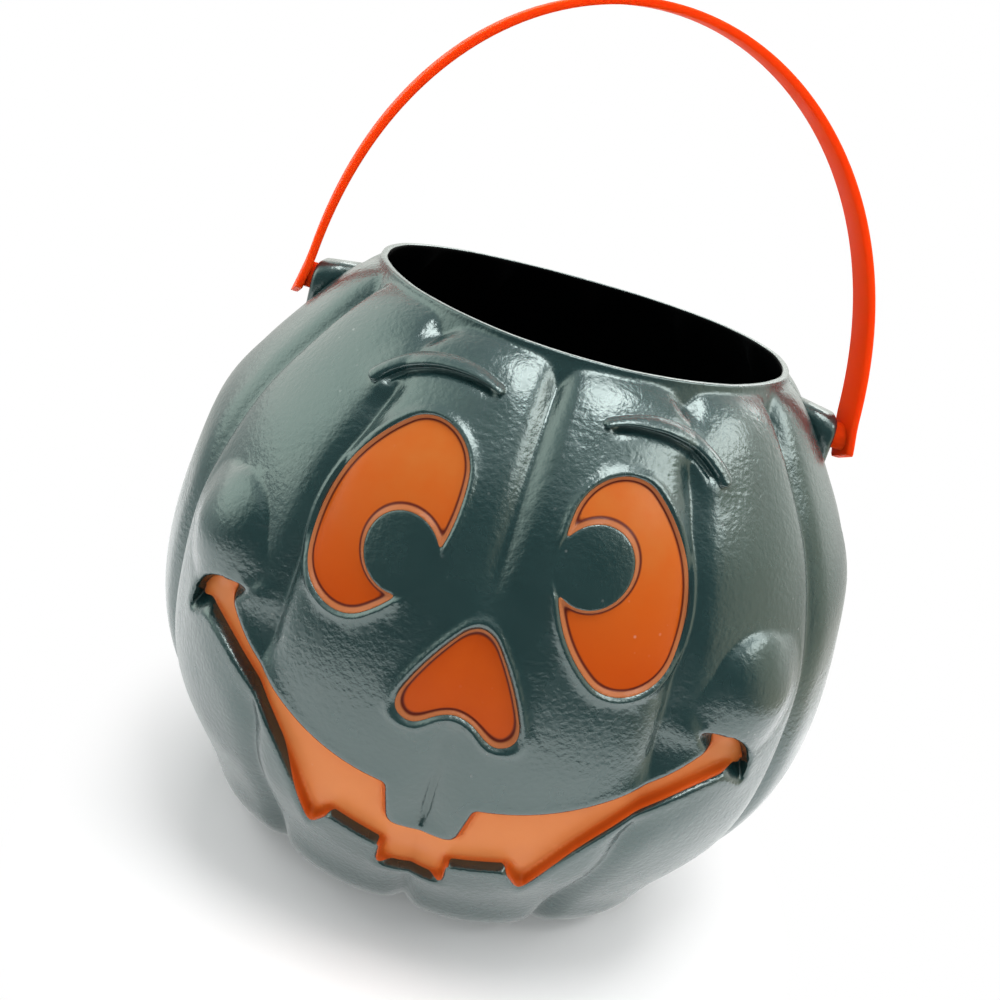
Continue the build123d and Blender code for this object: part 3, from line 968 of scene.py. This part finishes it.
lamps = {
    "key": {"place": (0.1, -0.16, 1.2), "size": (0.56, 0.56), "shape": "ELLIPSE", "power": 6.8,
            "shines": True},
    "window": {"place": (-1.1, 0.31, 0.75), "size": (0.85, 0.46), "shape": "RECTANGLE", "power": 5.4,
               "shines": False},
    "side": {"place": (0.86, -0.14, 1.06), "size": (0.9, 0.38), "shape": "RECTANGLE", "power": 5.4,
             "shines": True},
    "back": {"place": (0.35, 0.9, 0.8), "size": (1.1, 0.3), "shape": "RECTANGLE", "power": 5.0,
             "shines": True},
    "front": {"place": (-0.3, -1.3, 0.75), "size": (0.9, 0.9), "shape": "RECTANGLE", "power": 2.0,
              "shines": False},
}
white = (1.0, 1.0, 1.0, 1.0)


def roomGroup():
    # colour of the room in a direction: dark in front, white behind
    group, add, link, start, end = startGroup("room", {"Direction": "Vector"}, {"Color": "Color"})
    parts = add("ShaderNodeSeparateXYZ")
    link(start.outputs["Direction"], parts.inputs[0])
    x, y, z = (parts.outputs[axis] for axis in "XYZ")
    risen = spread(add, link, z, room["risen"])
    left = mixColour(add, link, risen, room["lowLeft"], room["left"])
    back = mixColour(add, link, risen, room["lowBack"], room["back"])
    sides = mixColour(add, link, spread(add, link, x, room["across"]), left, room["right"])
    frontShade = mixColour(add, link, spread(add, link, y, room["ahead"]), sides, room["front"])
    around = mixColour(add, link, spread(add, link, y, room["behind"]), frontShade, back)
    whole = mixColour(add, link, spread(add, link, z, room["overhead"]), around, room["above"])
    link(whole, end.inputs["Color"])
    return group


def buildFloor(roomShade):
    # a pale floor that turns white far off, and in the gloss turns into the room
    bm = bmesh.new()
    bmesh.ops.create_grid(bm, x_segments=1, y_segments=1, size=studio["floorSize"] / 2)
    material, add, link, shader = startMaterial("studioFloor")
    shader.inputs["Base Color"].default_value = (*[studio["floorColour"]] * 3, 1.0)
    shader.inputs["Roughness"].default_value = studio["floorRoughness"]
    shader.inputs["Emission Color"].default_value = white
    light, coords = add("ShaderNodeLightPath"), add("ShaderNodeTexCoord")
    stretched = add("ShaderNodeVectorMath", operation="MULTIPLY_ADD")
    stretched.inputs[1].default_value = studio["shadeStretch"]
    stretched.inputs[2].default_value = studio["shadeShift"]
    away = add("ShaderNodeVectorMath", operation="LENGTH")
    direction = add("ShaderNodeVectorMath", operation="NORMALIZE")
    beyondFloor = placeGroup(add, roomShade)
    for node in (stretched, direction):
        link(coords.outputs["Object"], node.inputs[0])
    link(stretched.outputs["Vector"], away.inputs[0])
    link(direction.outputs["Vector"], beyondFloor.inputs["Direction"])
    glowing, surface = add("ShaderNodeMath", operation="ADD"), shader.outputs[0]
    rays = {"toEye": light.outputs["Is Camera Ray"], "inGloss": light.outputs["Is Glossy Ray"]}
    for (kind, ray), glow in zip(rays.items(), glowing.inputs):
        link(multiply(add, link, ray, studio["floorGlow"][kind]), glow)
        far = spread(add, link, away.outputs["Value"], studio["fade"][kind])
        beyond, mix = add("ShaderNodeEmission", Color=white, Strength=1.0), add("ShaderNodeMixShader")
        link(multiply(add, link, ray, far), mix.inputs["Fac"])
        link(surface, mix.inputs[1])
        link(beyond.outputs[0], mix.inputs[2])
        surface = mix.outputs[0]
        if kind == "inGloss":
            link(beyondFloor.outputs["Color"], beyond.inputs["Color"])
    link(glowing.outputs[0], shader.inputs["Emission Strength"])
    link(surface, material.node_tree.get_output_node("ALL").inputs["Surface"])
    floor = newObject("studioFloor", bm, material, smooth=False)
    floor.location.z = -studio["floorDrop"] * mm


def buildWorld(roomShade):
    # white to the eye, even fill on matt surfaces, and the room in the gloss
    world = bpy.data.worlds.new("studioWorld")
    bpy.context.scene.world = world
    world.use_nodes = True
    tree = world.node_tree
    tree.nodes.clear()
    add, link = nodeMaker(tree), tree.links.new
    light, coords, beyond = add("ShaderNodeLightPath"), add("ShaderNodeTexCoord"), placeGroup(add, roomShade)
    fill = add("ShaderNodeBackground", Color=white, Strength=studio["skyFill"])
    seen, gloss = add("ShaderNodeBackground", Color=white), add("ShaderNodeBackground")
    link(coords.outputs["Generated"], beyond.inputs["Direction"])
    link(beyond.outputs["Color"], gloss.inputs["Color"])
    inGloss, toEye = add("ShaderNodeMixShader"), add("ShaderNodeMixShader")
    link(light.outputs["Is Glossy Ray"], inGloss.inputs["Fac"])
    link(fill.outputs[0], inGloss.inputs[1])
    link(gloss.outputs[0], inGloss.inputs[2])
    link(light.outputs["Is Camera Ray"], toEye.inputs["Fac"])
    link(inGloss.outputs[0], toEye.inputs[1])
    link(seen.outputs[0], toEye.inputs[2])
    link(toEye.outputs[0], add("ShaderNodeOutputWorld").inputs["Surface"])


def buildLamp(name, sizes):
    lamp = bpy.data.lights.new(name + "Lamp", "AREA")
    lamp.shape, lamp.energy = sizes["shape"], sizes["power"]
    lamp.size, lamp.size_y = sizes["size"]
    holder = bpy.data.objects.new(name + "Lamp", lamp)
    holder.location = sizes["place"]
    holder.rotation_euler = (Vector(studio["aim"]) - holder.location).to_track_quat("-Z", "Y").to_euler()
    holder.visible_glossy = sizes["shines"]
    bpy.context.scene.collection.objects.link(holder)


camera = {
    "place": (7.1, -388.8, 248.8), "turn": -2.34, "down": 19.67, "roll": 16.52,
    "lens": 44.64, "sensor": 36.0, "nearest": 0.01,
}


def buildCamera():
    lens = bpy.data.cameras.new("viewer")
    lens.lens, lens.sensor_width, lens.sensor_fit = camera["lens"], camera["sensor"], "HORIZONTAL"
    lens.clip_start = camera["nearest"]
    viewer = bpy.data.objects.new("viewer", lens)
    turn, down = radians(camera["turn"]), radians(camera["down"])
    ahead = Vector((sin(turn) * cos(down), cos(turn) * cos(down), -sin(down)))
    aim = ahead.to_track_quat("-Z", "Y").to_matrix().to_4x4()
    place = Matrix.Translation(Vector(camera["place"]) * mm)
    viewer.matrix_world = place @ aim @ Matrix.Rotation(radians(camera["roll"]), 4, "Z")
    bpy.context.scene.collection.objects.link(viewer)
    bpy.context.scene.camera = viewer


roomShade = roomGroup()
buildFloor(roomShade)
buildWorld(roomShade)
for lampName, lampSizes in lamps.items():
    buildLamp(lampName, lampSizes)
buildCamera()
bpy.context.scene.view_settings.view_transform = "Standard"
print("studio: floor, world,", len(lamps), "lamps and camera")
